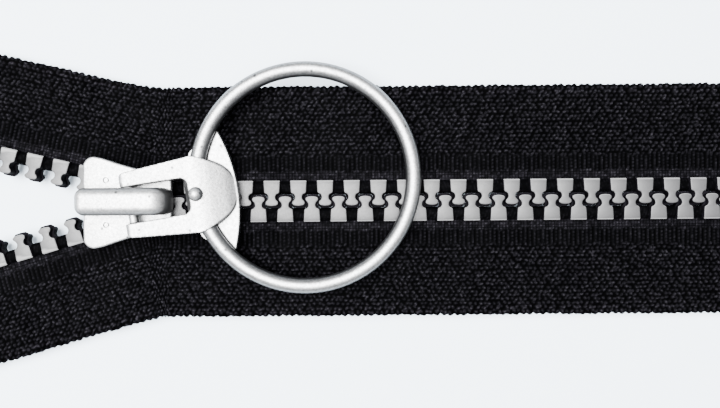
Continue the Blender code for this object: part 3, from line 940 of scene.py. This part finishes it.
def make_slider(material):
    """The slider body: two plates with soft edges, flanges, the wedge and small ejector marks."""
    body = bevel(prism("slider_casting", plate_outline(), 0.0, PLATE), PLATE_BEVEL, 4, 40)
    top = bevel(prism("top", plate_outline(), PLATE_TOP - PLATE, PLATE_TOP), PLATE_BEVEL, 4, 40)
    wedge = [(-1.7, -0.1), (-1.7, 0.1), (SLIDER_FRONT + 0.3, 1.0), (SLIDER_FRONT + 0.3, -1.1)]
    body = combine(body, prism("wedge", wedge, PLATE / 2, PLATE_TOP - PLATE / 2), "UNION")
    body = combine(body, top, "UNION")
    levels = ((FLANGE_INSET, PLATE + FLANGE_RISE),
              (PLATE_TOP - PLATE - FLANGE_RISE, PLATE_TOP - FLANGE_INSET))
    for side in (1, -1):
        for low, high in levels:
            body = combine(body, prism("flange", flange_outline(side), low, high), "UNION")
    for side in (1, -1):
        body = combine(body, ejector_mark(side), "DIFFERENCE")
    hole = block("claw_hole", (2.3, 0.6, 3.0), (3.7, 1.5, PLATE_TOP + 1))
    body = combine(body, hole, "DIFFERENCE")
    body.data.materials.append(material)
    smooth(body, CAST_SMOOTH)
    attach(body, "slider")
    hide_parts("slider_body")


def crown_solid():
    """The crown before it is hollowed: a bar with a rounder rear, cut level below."""
    outline = [(CROWN_FRONT, CROWN_LOW - 2), (CROWN_REAR, CROWN_LOW - 2)]
    outline += arc((CROWN_REAR - REAR_ROUND, CROWN_TOP - REAR_ROUND), REAR_ROUND, 0, 90, 16)
    outline += arc((CROWN_FRONT + FRONT_ROUND, CROWN_TOP - FRONT_ROUND), FRONT_ROUND, 90, 180, 10)
    cap = bevel(side_prism("crown_cap", outline, CROWN_HALF, CROWN_Y), CROWN_BEVEL, 9, 40)
    below = block("below", (CROWN_FRONT - 1, -4, CROWN_LOW - 4), (CROWN_REAR + 1, 4, CROWN_LOW))
    return combine(cap, below, "DIFFERENCE")


def make_crown(material):
    """The cap over the lock: a long rounded bar, hollow below, open at the sides for the crossbar."""
    cap = crown_solid()
    cavity = block("cavity", (CAVITY_FRONT, CROWN_Y - CAVITY_HALF, CROWN_LOW - 1),
                   (CAVITY_REAR, CROWN_Y + CAVITY_HALF, CEILING))
    cap = combine(cap, cavity, "DIFFERENCE")
    eye = [(EYE_FRONT - EYE_RADIUS, CROWN_LOW - 1), (EYE_REAR + EYE_RADIUS, CROWN_LOW - 1)]
    eye += arc((EYE_REAR, EYE_Z), EYE_RADIUS, 0, 90, 12)
    eye += arc((EYE_FRONT, EYE_Z), EYE_RADIUS, 90, 180, 12)
    cap = combine(cap, side_prism("eye", eye, 4), "DIFFERENCE")
    dash = block("dash", (DASH_FRONT, CROWN_Y - DASH_HALF, CROWN_TOP - DASH_DEPTH),
                 (DASH_REAR, CROWN_Y + DASH_HALF, CROWN_TOP + 1))
    cap = combine(cap, dash, "DIFFERENCE")
    cap.data.materials.append(material)
    smooth(cap, CAST_SMOOTH)
    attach(cap, "slider")
    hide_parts("crown")


# Pull and ring ------------------------------------------------------------------------------------

PULL_PIVOT = Vector(JOINTS["pull_flip"]["pos_m"])
PULL_YAW = math.radians(8.7)
PULL_PITCH = math.radians(1.2)
CROSSBAR_RADIUS = 0.65
CROSSBAR_HALF = 3.2
FORK_THICK = 0.85
PLATE_LOW = -0.3
WINDOW_END = 8.35
WINDOW_CORNER = 1.1
RING_CENTRE = 24.3
RING_RADIUS = 15.08
WIRE_RADIUS = 1.08
GROOVE_RADIUS = WIRE_RADIUS + 0.12
SKIN = WIRE_RADIUS + 0.1 + 0.45
BALL_X = 9.3
BALL_RADIUS = 1.0
CAST_VOXEL = 0.09
CAST_ROUNDS = 8
PULL_FRAME = (Matrix.Translation(PULL_PIVOT) @ Matrix.Rotation(PULL_YAW, 4, "Z")
              @ Matrix.Rotation(PULL_PITCH, 4, "Y"))


def fork_outline():
    """The pull from above, without its window: widening arms and a rounded far end."""
    half = [(-1.2, 3.5), (-1.18, 3.95), (-0.87, 4.36), (-0.35, 4.54), (9.2, 5.3)]
    half += rounded_path([(9.2, 5.3), (10.1, 5.07), (11.0, 4.64), (12.2, 4.0), (13.2, 3.28), (14.0, 2.35),
                          (14.33, 1.2), (14.4, 0.0)], 5, closed=False)[1:-1]
    return mirrored(half)


def web_outline():
    """The lens-shaped web under and inside the ring."""
    tip = 8.45
    radius = 22.85
    apex = 14.72
    front = []
    for step in range(16):
        y = tip * (1 - step / 16)
        front.append((apex - radius + math.sqrt(radius ** 2 - y ** 2), y))
    back = [(8.3, 4.4), (8.7, 5.9), (9.5, 6.6), (11.2, 7.9)]
    return mirrored(back + front)


def ring_mesh(name, wire, around, across):
    """A ring lying flat about the ring's centre in the pull's frame."""
    work = bmesh.new()
    rings = []
    for step in range(around):
        angle = 2 * math.pi * step / around
        loop = []
        for part in range(across):
            turn = 2 * math.pi * part / across
            reach = RING_RADIUS + wire * math.cos(turn)
            point = (RING_CENTRE + reach * math.cos(angle), reach * math.sin(angle), wire * math.sin(turn))
            loop.append(work.verts.new(Vector(point) * MM))
        rings.append(loop)
    for step in range(around):
        after = rings[(step + 1) % around]
        for part in range(across):
            beside = (part + 1) % across
            work.faces.new((rings[step][part], after[part], after[beside], rings[step][beside]))
    bmesh.ops.recalc_face_normals(work, faces=work.faces)
    mesh = bpy.data.meshes.new(name)
    work.to_mesh(mesh)
    work.free()
    return new_object(name, mesh)


def window_cutter():
    """The opening between the arms. Its end slants in below, to leave a wall at the tunnel."""
    end = WINDOW_END - WINDOW_CORNER
    outline = [(-3, -2.6), (end - 0.05, -2.5)] + arc((end, -1.4), WINDOW_CORNER, -70, 0, 8)
    outline += arc((end, 1.4), WINDOW_CORNER, 0, 70, 8) + [(end - 0.05, 2.5), (-3, 2.6)]
    window = prism("window", outline, -5, 5)
    under = WINDOW_END - 0.85
    slant = [(-4, -6), (under, -6), (under, 0), (WINDOW_END, 1.5), (WINDOW_END + 1, 6), (-4, 6)]
    return combine(window, side_prism("slant", slant, 6), "INTERSECT")


def cylinder_y(name, radius, half, segments):
    """A round bar across the pull at its pivot."""
    outline = arc((0, 0), radius, 0, 360 - 360 / segments, segments - 1)
    return side_prism(name, outline, half)


def pull_profile():
    """The pull from the side: a thin fork, thick at the tunnel, and a sloping far end."""
    profile = arc((-0.35, 0.0), FORK_THICK, 90, 270, 14)
    profile += [(6.9, -FORK_THICK), (8.0, -SKIN), (16.0, -SKIN), (16.0, PLATE_LOW), (14.6, PLATE_LOW)]
    over = [(14.4, -0.27), (13.4, 0.34), (12.2, 0.86), (10.8, 1.34), (9.2, SKIN), (7.4, 1.5), (4.0, 1.2),
            (0.0, FORK_THICK)]
    return profile + rounded_path(over, 5, closed=False)[:-1]


def pull_casting():
    """The fork, crossbar, plate and web as one casting, with the ring's tunnel through it."""
    pull = prism("pull_casting", fork_outline(), -4, 4)
    pull = combine(pull, side_prism("profile", pull_profile(), 8), "INTERSECT")
    pull = combine(pull, window_cutter(), "DIFFERENCE")
    pull = combine(pull, cylinder_y("crossbar", CROSSBAR_RADIUS, CROSSBAR_HALF, 24), "UNION")
    pull = combine(pull, prism("web", web_outline(), -SKIN, PLATE_LOW), "UNION")
    pull = combine(pull, ring_mesh("groove", GROOVE_RADIUS, 96, 20), "DIFFERENCE")
    return cast_soften(pull, CAST_VOXEL, CAST_ROUNDS)


def pull_ball(material):
    """The small ball on top of the plate."""
    mesh = bpy.data.meshes.new("pull_ball")
    work = bmesh.new()
    bmesh.ops.create_uvsphere(work, u_segments=32, v_segments=20, radius=BALL_RADIUS * MM)
    work.to_mesh(mesh)
    work.free()
    mesh.transform(Matrix.Translation(Vector((BALL_X, 0, SKIN)) * MM))
    mesh.shade_smooth()
    return new_object("pull_ball", mesh, material)


def make_pull(material, wire_material):
    """The pull casting, softened like a real one, and the wire ring through its tunnel."""
    pull = pull_casting()
    pull.data.materials.append(material)
    ball_piece = pull_ball(material)
    for piece in (pull, ball_piece):
        piece.data.transform(PULL_FRAME)
    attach(pull, "pull")
    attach(ball_piece, "pull")
    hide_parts("pull_plate")
    ring = ring_mesh("pull_ring_wire", WIRE_RADIUS, 192, 28)
    ring.data.transform(PULL_FRAME)
    ring.data.shade_smooth()
    ring.data.materials.append(wire_material)
    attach(ring, "ring")
    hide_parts("pull_ring")


# Lock, stops and bottom end -----------------------------------------------------------------------

KEPT_CAD = {
    "steel": ("lock_lever", "lever_pin", "lock_spring"),
    "film": ("film_upper", "film_lower"),
    "teeth": ("retainer_box", "box_pin", "insertion_pin", "top_stop_upper", "top_stop_lower"),
}


def dress_cad(materials):
    """The CAD pieces whose shape is right keep it, and take the detailed materials."""
    for key, nodes in KEPT_CAD.items():
        for node in nodes:
            mesh = frame["nodes"][node].data
            mesh.materials.clear()
            mesh.materials.append(materials[key])


# Studio -------------------------------------------------------------------------------------------

FLOOR_HALF = 900
FLOOR_LOW = -12
FLOOR_TOP = -0.05
LIGHTS = (("key", (-0.12, 0.05, 0.55), 0.50, 24.0), ("top", (0.05, -0.02, 1.0), 1.1, 22.0))
LIGHTS_AIM = Vector((0.03, 0, 0))
SKY = (0.75, 0.8, 0.86, 1.0)
SKY_STRENGTH = 0.2
CAMERA_PLACE = Vector((32.7, -0.48, 88.4)) * MM
CAMERA_ROLL = math.radians(-0.45)
CAMERA_LENS = 29.88


def make_studio():
    """A plain pale floor, a small soft light overhead, a larger one above it, and a faint sky."""
    floor = block("floor", (-FLOOR_HALF, -FLOOR_HALF, FLOOR_LOW), (FLOOR_HALF, FLOOR_HALF, FLOOR_TOP))
    paint = Nodes("pale_floor")
    paint.colour(paint.tones(paint.noise(FLOOR_SCALE, 2.0), FLOOR_DARK, FLOOR_LIGHT))
    paint.set(Roughness=0.9)
    floor.data.materials.append(paint.material)
    for name, place, size, power in LIGHTS:
        lamp = bpy.data.lights.new(name, "AREA")
        lamp.size = size
        lamp.energy = power
        made = bpy.data.objects.new(name, lamp)
        made.location = place
        made.rotation_euler = (LIGHTS_AIM - Vector(place)).to_track_quat("-Z", "Y").to_euler()
        bpy.context.scene.collection.objects.link(made)
    world = bpy.data.worlds.new("studio")
    world.use_nodes = True
    sky = world.node_tree.nodes["Background"]
    sky.inputs["Color"].default_value = SKY
    sky.inputs["Strength"].default_value = SKY_STRENGTH
    bpy.context.scene.world = world


def make_camera():
    """Straight above, on the chain between the slider and the ring's far side."""
    lens = bpy.data.cameras.new("camera")
    lens.sensor_width = 36.0
    lens.lens = CAMERA_LENS
    lens.clip_start = 0.005
    lens.clip_end = 5.0
    camera = bpy.data.objects.new("camera", lens)
    camera.location = CAMERA_PLACE
    camera.rotation_euler = (0, 0, CAMERA_ROLL)
    bpy.context.scene.collection.objects.link(camera)
    bpy.context.scene.camera = camera


def main():
    """Dress the frame."""
    make_camera()
    # Each casting's dark colour shows in its pits and in the painted shade on its steep faces.
    cast = cast_material("coated_zinc", light=(0.62, 0.622, 0.625), dark=(0.055, 0.056, 0.058),
                         grain_depth=0.00008, metallic=0.75, rough=(0.36, 0.5))
    wire = cast_material("satin_wire", light=(0.44, 0.445, 0.45), dark=(0.05, 0.051, 0.054),
                         grain_depth=0.00004, metallic=0.85, rough=(0.32, 0.42))
    teeth = teeth_material()
    make_tapes(tape_material())
    make_teeth(teeth, painted_shade_material())
    make_slider(cast)
    make_crown(cast)
    make_pull(cast, wire)
    dress_cad({"steel": steel_material(), "film": film_material(), "teeth": teeth})
    make_studio()


main()
